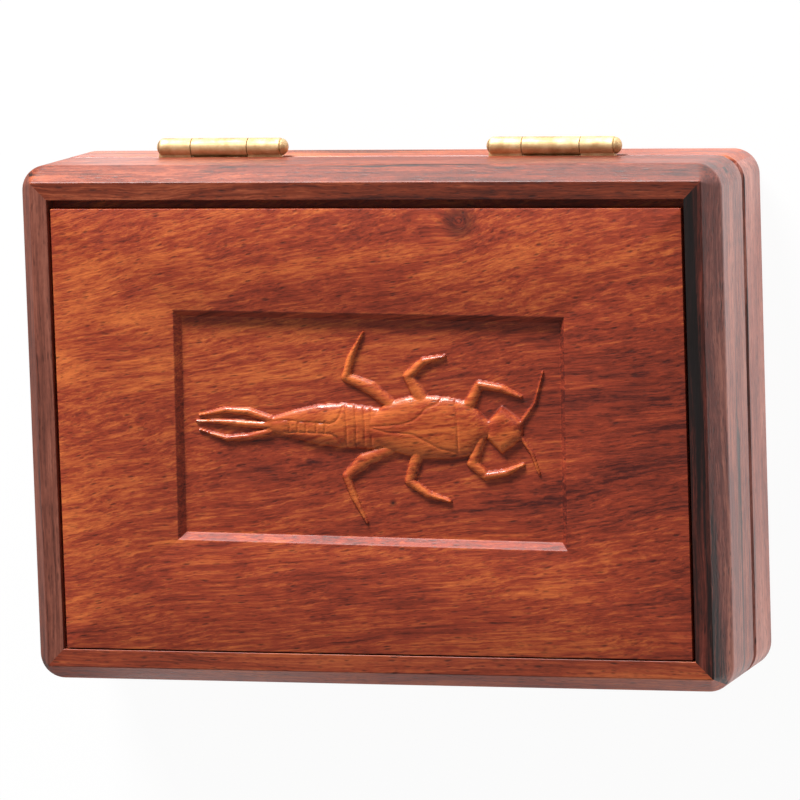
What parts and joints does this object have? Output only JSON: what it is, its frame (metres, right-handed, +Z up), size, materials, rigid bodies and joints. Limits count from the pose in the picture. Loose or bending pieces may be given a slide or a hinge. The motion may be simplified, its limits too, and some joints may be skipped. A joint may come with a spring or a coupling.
{
  "type": "wooden fly box",
  "caption": "Hinged hardwood fly box with mitred bevelled frames, a floating lid panel carved with a mayfly nymph, brass butt hinges and foam inside.",
  "frame": {"origin": "centre of the underside of the base, on the plane that it rests on", "axes": "+X along the long side, +Y towards the hinges at the back, +Z up through the lid"},
  "size_m": [0.139, 0.1036, 0.0376],
  "materials": {
    "frame_wood": "satin lacquer",
    "panel_wood": "satin lacquer",
    "brass": "satin",
    "magnet": "nickel plated",
    "foam": "matte closed-cell"
  },
  "bodies": {
    "base": {"base_back_rail": "frame_wood", "base_front_rail": "frame_wood", "base_left_stile": "frame_wood", "base_right_stile": "frame_wood", "base_panel": "panel_wood", "base_foam": "foam", "base_magnets": "magnet", "base_hinge_screws": "brass", "left_hinge_base_leaf": "brass", "right_hinge_base_leaf": "brass"},
    "lid": {"lid_back_rail": "frame_wood", "lid_front_rail": "frame_wood", "lid_left_stile": "frame_wood", "lid_right_stile": "frame_wood", "lid_panel": "panel_wood", "lid_foam": "foam", "lid_magnets": "magnet", "lid_hinge_screws": "brass", "left_hinge_lid_leaf": "brass", "right_hinge_lid_leaf": "brass", "left_hinge_pin": "brass", "right_hinge_pin": "brass"}
  },
  "joints": [
    {"name": "lid_hinge", "type": "hinge", "parent": "base", "child": "lid", "pos_m": [0, 0.05185, 0.0172], "axis": [-1, 0, 0], "range_deg": [0, 155]}
  ]
}
